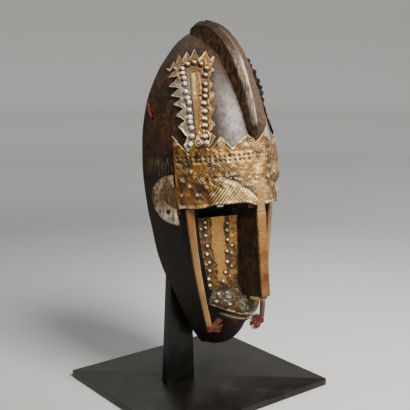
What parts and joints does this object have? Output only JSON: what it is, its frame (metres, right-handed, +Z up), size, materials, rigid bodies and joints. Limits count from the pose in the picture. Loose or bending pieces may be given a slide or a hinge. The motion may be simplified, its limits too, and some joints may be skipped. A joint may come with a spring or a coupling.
{
  "type": "african wooden face mask on a display stand",
  "caption": "Tall carved wooden face mask with a crest, sheet-brass plates, slats and thread tassels, held upright on a steel plate and post.",
  "frame": {"origin": "middle of the underside of the stand's base plate", "axes": "+Z up; -Y is the way the mask faces; +X is to the viewer's right when looking at the face"},
  "size_m": [0.24, 0.2364, 0.4453],
  "materials": {
    "wood": "dark, oiled and worn, with a soft sheen",
    "brass_sheet": "thin embossed sheet, yellow to copper brown, dark in the grooves",
    "copper_sheet": "reddish worn sheet",
    "thread": "matte red and ochre thread",
    "slat_wood": "pale brown, dry",
    "dark_steel": "blackened, satin, lightly scratched"
  },
  "bodies": {
    "root": {"mask_body": "wood", "brow_band": "brass_sheet", "brow_nail": "copper_sheet", "forehead_plate_left": "brass_sheet", "forehead_plate_right": "brass_sheet", "cheek_plate_left": "brass_sheet", "cheek_plate_right": "brass_sheet", "mouth_plate": "brass_sheet", "nose_strip": "copper_sheet", "nose_thread": "thread", "lacing_thread": "thread", "slat_left": "slat_wood", "slat_right": "slat_wood", "tassel_left": "thread", "tassel_right": "thread", "stand_base": "dark_steel", "stand_post": "dark_steel", "stand_arm_upper": "dark_steel", "stand_arm_lower": "dark_steel"}
  },
  "joints": []
}
